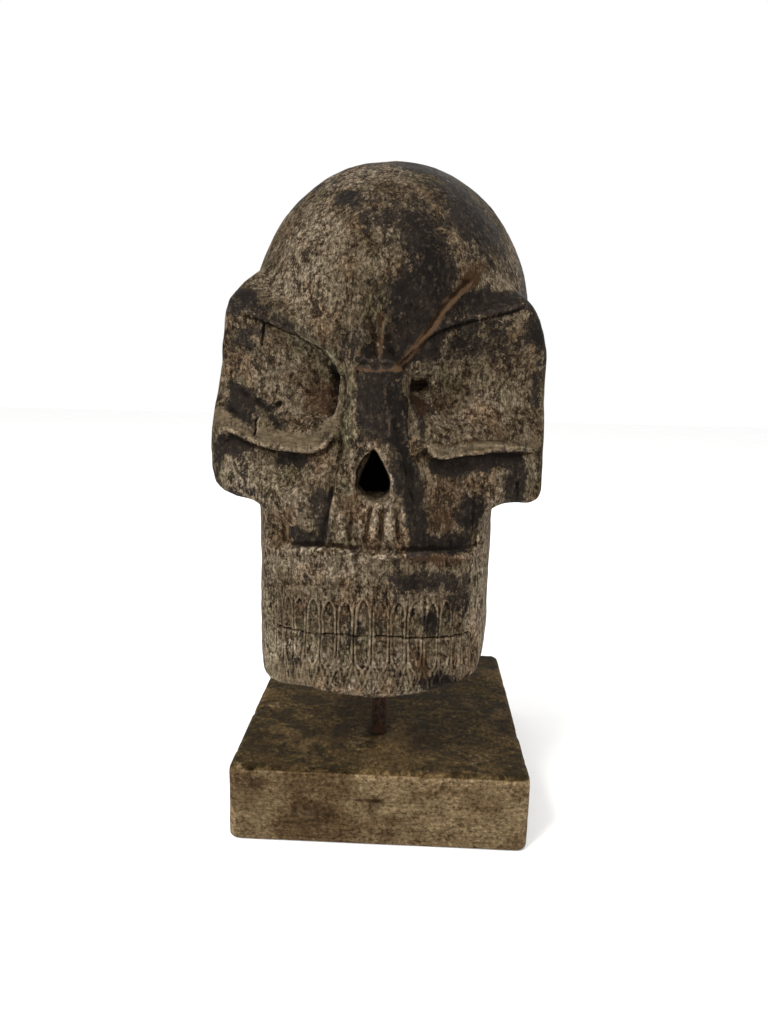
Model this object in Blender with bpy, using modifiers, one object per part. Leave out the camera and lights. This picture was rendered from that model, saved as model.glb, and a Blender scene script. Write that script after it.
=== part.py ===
"""Carved wooden skull on a round steel post and a square wooden base.

Metres, +Z up. The face looks along -Y, and the origin is the centre of the base's underside.
The skull is one carved block with a blind bore, and it sits on the post. The post is welded to a
steel foot plate, which four wood screws hold in a recess under the base.
"""

import math

import bmesh
import bpy
from mathutils import Matrix, Vector

# Driving dimensions
BASE_WIDTH = 0.152
BASE_DEPTH = 0.167
BASE_HEIGHT = 0.040
POST_DIAMETER = 0.009
POST_X = -0.002
POST_Y = -0.036
SKULL_TOP = 0.345
JAW_BOTTOM = 0.0825
CHIN_DROP = 0.0060
GAP = 0.0003

# Base edges
CORNER_EASE = 0.005
TOP_EASE = 0.0035
BOTTOM_EASE = 0.0015

# Cranium: an egg with a round plan, fuller below its widest level than above it
CRANIUM_X = -0.0019
CRANIUM_Y = 0.010
CRANIUM_Z = 0.2637
CRANIUM_HALF_WIDTH = 0.0746
CRANIUM_HALF_DEPTH = 0.088
CRANIUM_RISE = SKULL_TOP - CRANIUM_Z
CRANIUM_DROP = 0.096
CRANIUM_SQUARENESS = 2.2

# Face: a plate across the front of the cranium, which curves back towards both cheekbones
FACE_X = -0.006
FACE_FRONT = -0.078
FACE_BACK = -0.022
FACE_PLAN_RADIUS = 0.170
PALATE_Z = 0.151
BROW_Z = 0.257
BROW_SLOPE = math.radians(38)

# Jaw: a block under the face plate
JAW_FRONT = -0.0805
JAW_BACK = -0.012
JAW_SLOPE = math.radians(24)
JAW_EASE = 0.005
RAMUS_FRONT = -0.066

# Sockets, nose and teeth
SOCKET_X = 0.046
SOCKET_Z = 0.2305
SOCKET_RADIUS = 0.032
SOCKET_DEPTH = 0.016
SOCKET_SWEEP = math.radians(12)
BITE_Z = 0.109

# Post and its fixing under the base
BORE_DEPTH = 0.085
POST_RADIUS = POST_DIAMETER / 2
BORE_RADIUS = POST_RADIUS + GAP
PLATE_SIDE = 0.050
PLATE_THICKNESS = 0.0025
PLATE_BOTTOM = 0.0005
PLATE_TOP = PLATE_BOTTOM + PLATE_THICKNESS
RECESS_TOP = PLATE_TOP + GAP
WELD_LEG = 0.003
SCREW_PITCH = 0.034
SCREW_LENGTH = 0.016
SCREW_HEAD_RADIUS = 0.0035
SCREW_HEAD_HEIGHT = 0.0018
SCREW_SHANK_RADIUS = 0.0018
SCREW_TIP = 0.004
SLOT_WIDTH = 0.0009
SLOT_DEPTH = 0.0009

POST_TOP = JAW_BOTTOM + BORE_DEPTH - GAP
MODEL_NAME = "carved_skull_on_stand"

# How a flat outline is placed: facing the viewer, or lying flat
UPRIGHT = Matrix.Rotation(math.radians(90), 4, "X")
LEVEL = Matrix()


def clear_scene():
    for item in list(bpy.data.objects):
        bpy.data.objects.remove(item)


def new_collection(name):
    folder = bpy.data.collections.new(name)
    bpy.context.scene.collection.children.link(folder)
    return folder


def new_material(name, colour, roughness, metallic):
    material = bpy.data.materials.new(name)
    material.use_nodes = True
    shader = material.node_tree.nodes["Principled BSDF"]
    shader.inputs["Base Color"].default_value = (*colour, 1.0)
    shader.inputs["Roughness"].default_value = roughness
    shader.inputs["Metallic"].default_value = metallic
    return material


def place_mesh(name, mesh, folder, origin=(0, 0, 0)):
    """Put a mesh given in world coordinates in the scene, with its object's origin where it is asked for."""
    mesh.transform(Matrix.Translation(-Vector(origin)))
    item = bpy.data.objects.new(name, mesh)
    item.location = origin
    folder.objects.link(item)
    return item


def as_helper(item):
    item.hide_render = True
    item.display_type = "WIRE"
    return item


def finish_piece(item, material, smooth_angle=35):
    item.data.materials.append(material)
    item.data.shade_smooth()
    item.data.set_sharp_from_angle(angle=math.radians(smooth_angle))
    return item


def boolean(item, other, operation):
    modifier = item.modifiers.new(f"{operation.lower()} {other.name}", "BOOLEAN")
    modifier.operation = operation
    modifier.solver = "EXACT"
    modifier.object = other


def bevel(item, width, segments=3, angle=40):
    modifier = item.modifiers.new("bevel", "BEVEL")
    modifier.width = width
    modifier.segments = segments
    modifier.limit_method = "ANGLE"
    modifier.angle_limit = math.radians(angle)


def mesh_from_bmesh(name, shape):
    mesh = bpy.data.meshes.new(name)
    shape.to_mesh(mesh)
    shape.free()
    return mesh


def box(name, size, centre, folder, turn=None, origin=(0, 0, 0)):
    shape = bmesh.new()
    bmesh.ops.create_cube(shape, size=1)
    matrix = Matrix.Translation(centre) @ (turn or Matrix()) @ Matrix.Diagonal((*size, 1))
    bmesh.ops.transform(shape, matrix=matrix, verts=shape.verts)
    return place_mesh(name, mesh_from_bmesh(name, shape), folder, origin)


def cylinder(name, radius, bottom, top, folder, centre=(POST_X, POST_Y), segments=32):
    shape = bmesh.new()
    bmesh.ops.create_cone(
        shape, cap_ends=True, segments=segments, radius1=radius, radius2=radius, depth=top - bottom
    )
    axis = Vector((*centre, 0))
    bmesh.ops.translate(shape, vec=axis + Vector((0, 0, (top + bottom) / 2)), verts=shape.verts)
    return place_mesh(name, mesh_from_bmesh(name, shape), folder, axis)


def ellipsoid(name, radii, centre, folder, turn=None, segments=24):
    shape = bmesh.new()
    bmesh.ops.create_uvsphere(shape, u_segments=segments, v_segments=segments // 2, radius=1)
    matrix = Matrix.Translation(centre) @ (turn or Matrix()) @ Matrix.Diagonal((*radii, 1))
    bmesh.ops.transform(shape, matrix=matrix, verts=shape.verts)
    return place_mesh(name, mesh_from_bmesh(name, shape), folder)


def turned(name, profile, folder, centre=(POST_X, POST_Y), steps=32, closed=False):
    """Turn a profile of (radius, height) points, which runs down its outer side, about a vertical axis."""
    mesh = bpy.data.meshes.new(name)
    count = len(profile)
    edges = [(index, index + 1) for index in range(count - 1)]
    if closed:
        edges.append((count - 1, 0))
    mesh.from_pydata([(radius, 0, height) for radius, height in profile], edges, [])
    item = bpy.data.objects.new(name, mesh)
    item.location = (*centre, 0)
    folder.objects.link(item)
    modifier = item.modifiers.new("turn", "SCREW")
    modifier.steps = steps
    modifier.render_steps = steps
    modifier.use_merge_vertices = True
    modifier.merge_threshold = 0.00001
    modifier.use_smooth_shade = True
    return item


def outline_solid(name, outline, low, high, folder, to_world, resolution=5):
    """Thicken a flat outline of (u, v, handle) Bezier points between two levels along its normal."""
    curve = bpy.data.curves.new(name, "CURVE")
    curve.dimensions = "2D"
    curve.fill_mode = "BOTH"
    curve.extrude = (high - low) / 2
    curve.resolution_u = resolution
    spline = curve.splines.new("BEZIER")
    spline.bezier_points.add(len(outline) - 1)
    for point, (u, v, handle) in zip(spline.bezier_points, outline):
        point.co = (u, v, 0)
        point.handle_left_type = handle
        point.handle_right_type = handle
    spline.use_cyclic_u = True
    drawn = bpy.data.objects.new(name, curve)
    drawn.matrix_world = to_world @ Matrix.Translation((0, 0, (low + high) / 2))
    folder.objects.link(drawn)
    bpy.context.view_layer.update()
    evaluated = drawn.evaluated_get(bpy.context.evaluated_depsgraph_get())
    mesh = bpy.data.meshes.new_from_object(evaluated)
    mesh.transform(drawn.matrix_world)
    bpy.data.objects.remove(drawn)
    shape = bmesh.new()
    shape.from_mesh(mesh)
    bmesh.ops.remove_doubles(shape, verts=shape.verts, dist=0.00001)
    bmesh.ops.recalc_face_normals(shape, faces=shape.faces)
    shape.to_mesh(mesh)
    shape.free()
    return place_mesh(name, mesh, folder)


def cranium(folder, origin):
    """The egg of the cranium: a superellipse in plan, with a shorter upper half than lower half."""
    shape = bmesh.new()
    bmesh.ops.create_uvsphere(shape, u_segments=56, v_segments=36, radius=1)
    for vertex in shape.verts:
        x, y, z = vertex.co
        ring = math.hypot(x, y)
        if ring > 0.00001:
            power = CRANIUM_SQUARENESS
            reach = (abs(x / ring) ** power + abs(y / ring) ** power) ** (-1 / power)
            x *= reach
            y *= reach
        vertex.co.x = CRANIUM_X + CRANIUM_HALF_WIDTH * x
        vertex.co.y = CRANIUM_Y + CRANIUM_HALF_DEPTH * y
        vertex.co.z = CRANIUM_Z + z * (CRANIUM_RISE if z > 0 else CRANIUM_DROP)
    return place_mesh("skull", mesh_from_bmesh("skull", shape), folder, origin)


def brow_slope(folder):
    """The plane that the temples slope back along, above the brows."""
    turn = Matrix.Rotation(BROW_SLOPE, 4, "X")
    centre = Vector((0, FACE_FRONT, BROW_Z)) + turn @ Vector((0, 0, 0.050))
    return as_helper(box("brow_slope", (0.240, 0.200, 0.100), centre, folder, turn))


def face_plate(folder):
    """The winged plate of the brows, cheekbones and upper jaw, cut to a drum so that it curves back."""
    outline = [
        (-0.047, PALATE_Z, "VECTOR"),
        (-0.051, 0.166, "AUTO"),
        (-0.063, 0.1715, "AUTO"),
        (-0.085, 0.1780, "AUTO"),
        (-0.0885, 0.193, "AUTO"),
        (-0.0850, 0.228, "AUTO"),
        (-0.0806, 0.254, "AUTO"),
        (-0.0780, 0.268, "AUTO"),
        (-0.0645, 0.2855, "AUTO"),
        (-0.020, 0.300, "VECTOR"),
        (0.030, 0.296, "VECTOR"),
        (0.063, 0.273, "AUTO"),
        (0.0745, 0.252, "AUTO"),
        (0.0757, 0.228, "AUTO"),
        (0.0765, 0.200, "AUTO"),
        (0.0770, 0.178, "VECTOR"),
        (0.0725, 0.1735, "VECTOR"),
        (0.054, 0.1735, "AUTO"),
        (0.044, 0.164, "AUTO"),
        (0.042, PALATE_Z, "VECTOR"),
    ]
    plate = outline_solid("face_plate", outline, -FACE_BACK, -FACE_FRONT + 0.002, folder, UPRIGHT)
    drum = cylinder(
        "face_drum", FACE_PLAN_RADIUS, 0.120, 0.320, folder,
        centre=(FACE_X, FACE_FRONT + FACE_PLAN_RADIUS), segments=128,
    )
    boolean(plate, as_helper(drum), "INTERSECT")
    boolean(plate, brow_slope(folder), "DIFFERENCE")
    bevel(plate, 0.006, segments=3, angle=50)
    return as_helper(plate)


def nose_wedge(folder):
    """The wedge of the nose bridge and the upper jaw, which widens towards the teeth."""
    outline = [
        (-0.015, 0.092, "VECTOR"),
        (-0.018, 0.064, "AUTO"),
        (-0.029, 0, "VECTOR"),
        (0.020, 0, "VECTOR"),
        (0.008, 0.061, "AUTO"),
        (0.007, 0.092, "VECTOR"),
    ]
    lean = Matrix.Translation((0, FACE_FRONT, PALATE_Z)) @ Matrix.Rotation(math.radians(2), 4, "X")
    wedge = outline_solid("nose_wedge", outline, -0.030, 0.0025, folder, lean @ UPRIGHT)
    bevel(wedge, 0.002, segments=2)
    return as_helper(wedge)


def jaw_block(folder):
    """The jaw, wider at the back than at the teeth, with its underside sloping up behind the chin.

    The tooth block ends in a ledge at the palate, and only the jaw's sides go on up behind the cheekbones.
    """
    outline = [
        (-0.004, JAW_FRONT, "AUTO"),
        (-0.043, JAW_FRONT + 0.004, "AUTO"),
        (-0.0585, -0.066, "AUTO"),
        (-0.0646, -0.050, "AUTO"),
        (-0.0672, -0.021, "VECTOR"),
        (-0.066, JAW_BACK, "VECTOR"),
        (0.051, JAW_BACK, "VECTOR"),
        (0.0558, -0.021, "VECTOR"),
        (0.0525, -0.047, "AUTO"),
        (0.0465, -0.066, "AUTO"),
        (0.036, JAW_FRONT + 0.004, "AUTO"),
    ]
    jaw = outline_solid("jaw_block", outline, JAW_BOTTOM, PALATE_Z + 0.030, folder, LEVEL)
    turn = Matrix.Rotation(JAW_SLOPE, 4, "X")
    reach = Vector((0, 0.050, -0.050))
    centre = Vector((0, -0.060, JAW_BOTTOM + 0.001)) + turn @ reach
    slope = box("jaw_slope", (0.2, 0.140, 0.100), centre, folder, turn)
    boolean(jaw, as_helper(slope), "DIFFERENCE")
    ledge = box("tooth_ledge", (0.2, 0.060, 0.060), (0, RAMUS_FRONT - 0.030, PALATE_Z + 0.030), folder)
    boolean(jaw, as_helper(ledge), "DIFFERENCE")
    bevel(jaw, JAW_EASE, segments=3, angle=45)
    return as_helper(jaw)


def chin(folder):
    """The rounded middle of the chin, the lowest part of the jaw's front edge."""
    outline = [
        (-0.033, JAW_BOTTOM + 0.015, "VECTOR"),
        (-0.034, JAW_BOTTOM + 0.001, "AUTO"),
        (-0.017, JAW_BOTTOM - 0.7 * CHIN_DROP, "AUTO"),
        (0.000, JAW_BOTTOM - CHIN_DROP, "AUTO"),
        (0.018, JAW_BOTTOM - 0.6 * CHIN_DROP, "AUTO"),
        (0.034, JAW_BOTTOM + 0.002, "AUTO"),
        (0.033, JAW_BOTTOM + 0.015, "VECTOR"),
    ]
    boss = outline_solid("chin", outline, 0.050, -JAW_FRONT - 0.001, folder, UPRIGHT)
    bevel(boss, 0.004)
    return as_helper(boss)


def cheek_arch(side, folder):
    """The swelling behind a cheekbone, which carries it back into the side of the cranium."""
    turn = Matrix.Rotation(side * math.radians(8), 4, "Z")
    centre = (FACE_X + side * 0.057, -0.010, 0.221)
    return as_helper(ellipsoid(f"cheek_arch_{side}", (0.022, 0.042, 0.040), centre, folder, turn, 32))


def skull_base(folder):
    """The solid under the cranium, behind the jaw."""
    return as_helper(ellipsoid("skull_base", (0.044, 0.052, 0.032), (CRANIUM_X, 0.004, 0.184), folder))


def socket_centre(side):
    return Vector((FACE_X + side * SOCKET_X, FACE_FRONT + SOCKET_DEPTH - SOCKET_RADIUS, SOCKET_Z))


def socket(side, folder):
    """The inner end of one eye socket: a scoop, deepest beside the nose."""
    radii = (SOCKET_X - 0.011, SOCKET_RADIUS, SOCKET_RADIUS)
    return as_helper(ellipsoid(f"socket_{side}", radii, socket_centre(side), folder, segments=40))


def socket_run_out(side, folder):
    """A trough from the middle of a socket to the side of the face plate, which it follows back."""
    length = 0.070
    shape = bmesh.new()
    bmesh.ops.create_cone(
        shape, cap_ends=True, segments=48, radius1=SOCKET_RADIUS, radius2=SOCKET_RADIUS, depth=length
    )
    turn = Matrix.Rotation(side * SOCKET_SWEEP, 4, "Z") @ Matrix.Rotation(math.radians(90), 4, "Y")
    centre = socket_centre(side) + turn @ Vector((0, 0, side * length / 2))
    bmesh.ops.transform(shape, matrix=Matrix.Translation(centre) @ turn, verts=shape.verts)
    name = f"socket_run_out_{side}"
    return as_helper(place_mesh(name, mesh_from_bmesh(name, shape), folder))


def eye_hole(name, x, z, radii, folder):
    """A deeper pit in the inner corner of a socket."""
    return as_helper(ellipsoid(name, radii, (x, -0.060, z), folder, segments=16))


def nose_hole(folder):
    """The pear-shaped nose opening."""
    outline = [
        (-0.0065, 0.204, "VECTOR"),
        (-0.0150, 0.185, "AUTO"),
        (-0.0100, 0.1785, "AUTO"),
        (-0.0010, 0.1775, "AUTO"),
        (0.0025, 0.183, "AUTO"),
    ]
    return as_helper(outline_solid("nose_hole", outline, 0.064, 0.100, folder, UPRIGHT, resolution=4))


def cheek_hollow(side, folder):
    """A shallow hollow between the socket's lower lip and the lower edge of the cheekbone."""
    turn = Matrix.Rotation(side * math.radians(14), 4, "Z")
    centre = (FACE_X + side * 0.045, FACE_FRONT + 0.001, 0.190)
    return as_helper(ellipsoid(f"cheek_hollow_{side}", (0.026, 0.0085, 0.0105), centre, folder, turn, 32))


def brow_hollow(folder):
    """The notch between the brows, above the nose bridge."""
    centre = (FACE_X + 0.003, FACE_FRONT - 0.003, 0.254)
    return as_helper(ellipsoid("brow_hollow", (0.013, 0.008, 0.010), centre, folder))


def jaw_slot(side, folder):
    """A narrow upright slot in the side of the jaw, near its back edge."""
    x = POST_X + side * 0.064
    return as_helper(box(f"jaw_slot_{side}", (0.030, 0.0045, 0.036), (x, -0.024, 0.147), folder))


def bite_line(folder):
    """The shallow groove between the upper and the lower teeth."""
    groove = box("bite_line", (0.110, 0.020, 0.0016), (FACE_X, JAW_FRONT - 0.0060, BITE_Z), folder)
    return as_helper(groove)


def post_bore(folder):
    """The blind bore that the post stands in."""
    return as_helper(cylinder("post_bore", BORE_RADIUS, JAW_BOTTOM - 0.020, POST_TOP + GAP, folder))


def carve_skull(folder, helpers, wood):
    origin = Vector((POST_X, POST_Y, POST_TOP + GAP))
    skull = cranium(folder, origin)
    for solid in (face_plate, skull_base, jaw_block, chin, nose_wedge):
        boolean(skull, solid(helpers), "UNION")
    for side in (-1, 1):
        boolean(skull, cheek_arch(side, helpers), "UNION")
    for side in (-1, 1):
        for hollow in (socket, socket_run_out, cheek_hollow, jaw_slot):
            boolean(skull, hollow(side, helpers), "DIFFERENCE")
    boolean(skull, nose_hole(helpers), "DIFFERENCE")
    boolean(skull, brow_hollow(helpers), "DIFFERENCE")
    boolean(skull, eye_hole("eye_hole_left", -0.026, 0.227, (0.004, 0.012, 0.010), helpers), "DIFFERENCE")
    boolean(skull, eye_hole("eye_hole_right", 0.016, 0.232, (0.005, 0.012, 0.0045), helpers), "DIFFERENCE")
    soften_carving(skull)
    boolean(skull, bite_line(helpers), "DIFFERENCE")
    boolean(skull, post_bore(helpers), "DIFFERENCE")
    return finish_piece(skull, wood, smooth_angle=45)


def soften_carving(skull):
    """Round every meeting of two solids a little, as a carver's last passes do."""
    remesh = skull.modifiers.new("remesh", "REMESH")
    remesh.mode = "VOXEL"
    remesh.voxel_size = 0.0022
    smooth = skull.modifiers.new("smooth", "SMOOTH")
    smooth.factor = 0.5
    smooth.iterations = 3
    decimate = skull.modifiers.new("decimate", "DECIMATE")
    decimate.ratio = 0.1


def make_post(folder, steel):
    chamfer = 0.0006
    profile = [
        (0, POST_TOP),
        (POST_RADIUS - chamfer, POST_TOP),
        (POST_RADIUS, POST_TOP - chamfer),
        (POST_RADIUS, PLATE_BOTTOM),
        (0, PLATE_BOTTOM),
    ]
    return finish_piece(turned("post", profile, folder), steel)


def screw_places():
    half = SCREW_PITCH / 2
    return [(POST_X + dx * half, POST_Y + dy * half) for dy in (-1, 1) for dx in (-1, 1)]


def screw_profile(clearance=0.0):
    """The countersunk screw from its point down to its head, or its hole with some clearance."""
    point = PLATE_BOTTOM + SCREW_LENGTH + clearance
    shoulder = point - SCREW_TIP
    return [
        (0, point),
        (SCREW_SHANK_RADIUS + clearance, shoulder),
        (SCREW_SHANK_RADIUS + clearance, PLATE_BOTTOM + SCREW_HEAD_HEIGHT + clearance),
        (SCREW_HEAD_RADIUS + clearance, PLATE_BOTTOM + clearance),
    ]


def make_screw(index, centre, folder, helpers, steel):
    profile = screw_profile() + [(0, PLATE_BOTTOM)]
    screw = turned(f"screw_{index}", profile, folder, centre, steps=24)
    length = 2.5 * SCREW_HEAD_RADIUS
    slot = box(f"screw_slot_{index}", (length, SLOT_WIDTH, 2 * SLOT_DEPTH), (*centre, PLATE_BOTTOM), helpers)
    boolean(screw, as_helper(slot), "DIFFERENCE")
    return finish_piece(screw, steel)


def screw_hole(index, centre, helpers):
    bottom = PLATE_BOTTOM - 0.001
    profile = screw_profile(GAP) + [(SCREW_HEAD_RADIUS + GAP, bottom), (0, bottom)]
    return as_helper(turned(f"screw_hole_{index}", profile, helpers, centre, steps=24))


def make_foot_plate(folder, helpers, holes, steel):
    centre = (POST_X, POST_Y, PLATE_BOTTOM + PLATE_THICKNESS / 2)
    plate = box("foot_plate", (PLATE_SIDE, PLATE_SIDE, PLATE_THICKNESS), centre, folder)
    bevel(plate, 0.0004, segments=1)
    for hole in holes:
        boolean(plate, hole, "DIFFERENCE")
    post_hole = cylinder("plate_post_hole", BORE_RADIUS, PLATE_BOTTOM - 0.001, PLATE_TOP + 0.001, helpers)
    boolean(plate, as_helper(post_hole), "DIFFERENCE")
    return finish_piece(plate, steel)


def make_weld_bead(folder, steel):
    """A fillet of weld round the post, on the plate's upper face."""
    inner = POST_RADIUS + GAP
    foot = PLATE_TOP + GAP
    throat = 0.6 * WELD_LEG
    profile = [
        (inner, foot + WELD_LEG),
        (inner + throat * 0.45, foot + WELD_LEG * 0.82),
        (inner + throat, foot + throat),
        (inner + WELD_LEG * 0.9, foot + throat * 0.45),
        (inner + WELD_LEG, foot),
        (inner, foot),
    ]
    return finish_piece(turned("weld_bead", profile, folder, closed=True), steel)


def rounded_block(folder):
    """The base block: its corners and top edges are well eased, its bottom edges only a little."""
    shape = bmesh.new()
    bmesh.ops.create_cube(shape, size=1)
    bmesh.ops.scale(shape, vec=(BASE_WIDTH, BASE_DEPTH, BASE_HEIGHT), verts=shape.verts)
    bmesh.ops.translate(shape, vec=(0, 0, BASE_HEIGHT / 2), verts=shape.verts)
    upright = [edge for edge in shape.edges if abs(edge.verts[0].co.z - edge.verts[1].co.z) > BASE_HEIGHT / 2]
    bmesh.ops.bevel(shape, geom=upright, offset=CORNER_EASE, segments=4, profile=0.5, affect="EDGES")
    for level, ease in ((BASE_HEIGHT, TOP_EASE), (0, BOTTOM_EASE)):
        rim = [edge for edge in shape.edges if all(abs(end.co.z - level) < 0.00001 for end in edge.verts)]
        bmesh.ops.bevel(shape, geom=rim, offset=ease, segments=3, profile=0.5, affect="EDGES")
    return place_mesh("base", mesh_from_bmesh("base", shape), folder)


def make_base(folder, helpers, holes, wood):
    base = rounded_block(folder)
    recess_side = PLATE_SIDE + 2 * GAP
    recess_size = (recess_side, recess_side, 2 * RECESS_TOP)
    recess = box("plate_recess", recess_size, (POST_X, POST_Y, 0), helpers)
    weld_room = WELD_LEG + 2 * GAP
    weld_bore = cylinder("weld_bore", POST_RADIUS + weld_room, 0.001, RECESS_TOP + weld_room, helpers)
    post_hole = cylinder("base_post_hole", BORE_RADIUS, 0.001, BASE_HEIGHT + 0.010, helpers)
    for cutter in (recess, weld_bore, post_hole):
        boolean(base, as_helper(cutter), "DIFFERENCE")
    for hole in holes:
        boolean(base, hole, "DIFFERENCE")
    return finish_piece(base, wood)


def build():
    clear_scene()
    parts = new_collection(MODEL_NAME)
    helpers = new_collection("cutters and guides")
    carved_wood = new_material("carved_wood", (0.23, 0.18, 0.12), 0.75, 0.0)
    base_wood = new_material("base_wood", (0.14, 0.105, 0.065), 0.65, 0.0)
    rusty_steel = new_material("rusty_steel", (0.08, 0.045, 0.03), 0.7, 0.5)
    plain_steel = new_material("plain_steel", (0.35, 0.34, 0.32), 0.45, 1.0)
    places = list(enumerate(screw_places(), start=1))
    holes = [screw_hole(index, centre, helpers) for index, centre in places]
    make_base(parts, helpers, holes, base_wood)
    make_foot_plate(parts, helpers, holes, plain_steel)
    for index, centre in places:
        make_screw(index, centre, parts, helpers, plain_steel)
    make_weld_bead(parts, rusty_steel)
    make_post(parts, rusty_steel)
    carve_skull(parts, helpers, carved_wood)


build()
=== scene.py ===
"""The visual model of a weathered carved skull on a rusty post and a block base.

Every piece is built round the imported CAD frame: +Z up, with the face towards -Y. Blender's own lengths
are in metres, and the carving code works in millimetres.
"""

import itertools
import math
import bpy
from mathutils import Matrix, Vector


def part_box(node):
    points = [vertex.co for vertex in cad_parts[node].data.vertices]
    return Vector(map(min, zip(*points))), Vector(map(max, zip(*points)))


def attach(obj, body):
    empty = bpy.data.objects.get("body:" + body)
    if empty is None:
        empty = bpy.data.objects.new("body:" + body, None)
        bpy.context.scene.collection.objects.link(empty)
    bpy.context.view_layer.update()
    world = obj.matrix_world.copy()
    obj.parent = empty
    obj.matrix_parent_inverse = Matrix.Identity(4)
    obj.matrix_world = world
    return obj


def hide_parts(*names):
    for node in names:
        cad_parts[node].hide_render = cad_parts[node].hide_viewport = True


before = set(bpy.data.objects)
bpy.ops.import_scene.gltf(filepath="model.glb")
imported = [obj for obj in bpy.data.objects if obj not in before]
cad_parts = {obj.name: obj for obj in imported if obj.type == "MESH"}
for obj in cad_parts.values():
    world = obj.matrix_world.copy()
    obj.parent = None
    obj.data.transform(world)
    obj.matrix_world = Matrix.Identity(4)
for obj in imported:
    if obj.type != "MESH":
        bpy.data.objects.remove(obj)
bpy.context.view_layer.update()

from types import SimpleNamespace

import bmesh
import bpy
import numpy as np
from mathutils import Matrix, Vector

MM = 0.001

# Places taken from the frame, in metres, and the post's place in millimetres
BASE_LOW, BASE_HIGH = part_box("base")
PLATE_LOW, PLATE_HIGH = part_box("foot_plate")
WELD_LOW, WELD_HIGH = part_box("weld_bead")
POST_LOW, POST_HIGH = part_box("post")
POST_AXIS = (POST_LOW + POST_HIGH) / 2
POST_CENTRE = np.array(POST_AXIS[:2]) / MM
POST_RADIUS = (POST_HIGH.x - POST_LOW.x) / 2
BORE_RADIUS = POST_RADIUS + 0.0003
SCREWS = [f"screw_{index}" for index in (1, 2, 3, 4)]

# Easing of the block's edges, and the radius of its screw holes
CORNER_EASE = 0.005
TOP_EASE = 0.003
BOTTOM_EASE = 0.001
SCREW_HOLE_RADIUS = 0.0021

# Mesh fineness
SKULL_VOXEL = 0.0022
BASE_VOXEL = 0.0016
LATTICE = 32

# How much brighter than its paint a surface shows under the studio's lights
LIGHT_LEVEL = 1.85

# Surface tones that a wood material reads from a mesh; the mesh's own shape adds to hollow and rim
# hollow is painted shade in hollows, rim a painted highlight on ridges with paler worn edges, and black on
# the skull mostly painted shade in cuts, cracks and holes
TONES = ("dark", "warm", "pale", "green", "smooth", "black", "hollow", "rim")

# Nose and teeth, in millimetres: the row of teeth follows an arch, seen from the front
NOSE_X = -6.3
TEETH_X = -5.0
TEETH_ARCH = 52.0
TOOTH_TURN = math.radians(9.6)
BITE_Z = 110.8
UPPER_TOP = 128.0
LOWER_TIP = 93.5
ROOT_END = 82.5
LEDGE_Z = 151.5

# Brown stains on the front of the block: across, up, half width, half height and amount
BASE_STAINS = (
    (-34, 15, 17, 8, 0.8),
    (-66, 33, 9, 5, 0.8),
    (-40, 30, 12, 5, 0.5),
    (52, 34, 10, 3, 0.5),
    (4, 6, 20, 4, 0.4),
)

# The camera: its place in metres, its turns in radians, and its lens and sensor in millimetres
CAMERA_PLACE = (0.0116, -0.4346, 0.2407)
CAMERA_PITCH = -0.1916
CAMERA_YAW = 0.0341
CAMERA_ROLL = 0.0248
FOCAL_LENGTH = 27.0773
SENSOR_SIZE = 36


# ---------------------------------------------------------------- noise and curves


def ramp(value, low, high):
    """A smooth step from 0 at low to 1 at high."""
    share = np.clip((value - low) / (high - low), 0, 1)
    return share * share * (3 - 2 * share)


def bump_at(distance, width):
    """A bell that is 1 at distance 0 and fades within about twice the width."""
    return np.exp(-((distance / width) ** 2))


def lattice_noise(points, seed):
    """Smooth noise from -1 to 1 with one value on each corner of a wrapped lattice of unit cells."""
    table = np.random.default_rng(seed).uniform(-1, 1, (LATTICE, LATTICE, LATTICE))
    cell = np.floor(points).astype(int)
    share = points - cell
    share = share * share * (3 - 2 * share)
    total = np.zeros(len(points))
    for corner in itertools.product((0, 1), repeat=3):
        weight = np.prod(np.where(corner, share, 1 - share), axis=1)
        x, y, z = ((cell + corner) % LATTICE).T
        total += weight * table[x, y, z]
    return total


def fractal(points, size, seed, octaves=3, stretch=(1, 1, 1)):
    """Layered noise from about -1 to 1, with lumps of the given size, longer along a stretched axis."""
    scaled = points / (size * np.array(stretch))
    total = np.zeros(len(points))
    reach = 0
    for octave in range(octaves):
        weight = 0.5**octave
        total += weight * lattice_noise(scaled * 2**octave + 5.3 * octave, seed + octave)
        reach += weight
    return total / reach


def oval(points, x, z, width, height, turn=0):
    """How far out each (x, z) point lies from an oval's centre, where 1 is its edge."""
    dx, dz = (points - (x, z)).T
    angle = math.radians(turn)
    along = dx * math.cos(angle) + dz * math.sin(angle)
    across = dz * math.cos(angle) - dx * math.sin(angle)
    return np.hypot(along / width, across / height)


def smooth_path(points, samples=8):
    """A Catmull-Rom curve through the points, as an array of positions."""
    knots = np.array([points[0], *points, points[-1]], float)
    share = np.linspace(0, 1, samples, endpoint=False)[:, None]
    spans = []
    for a, b, c, d in zip(knots, knots[1:], knots[2:], knots[3:]):
        spans.append(
            0.5
            * (
                2 * b
                + (c - a) * share
                + (2 * a - 5 * b + 4 * c - d) * share**2
                + (3 * b - a - 3 * c + d) * share**3
            )
        )
    return np.vstack([*spans, knots[-1:]])


# ---------------------------------------------------------------- meshes


def new_object(name, mesh):
    item = bpy.data.objects.new(name, mesh)
    bpy.context.scene.collection.objects.link(item)
    return item


def read_vertices(mesh, field, width=3):
    values = np.zeros(len(mesh.vertices) * width)
    mesh.vertices.foreach_get(field, values)
    return values.reshape(-1, width)


def write_positions(mesh, positions):
    mesh.vertices.foreach_set("co", positions.astype(np.float32).ravel())
    mesh.update()


def with_modifiers(item):
    """The object's mesh after its modifiers, which are then removed."""
    evaluated = item.evaluated_get(bpy.context.evaluated_depsgraph_get())
    mesh = bpy.data.meshes.new_from_object(evaluated)
    item.modifiers.clear()
    item.data = mesh
    return mesh


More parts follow.
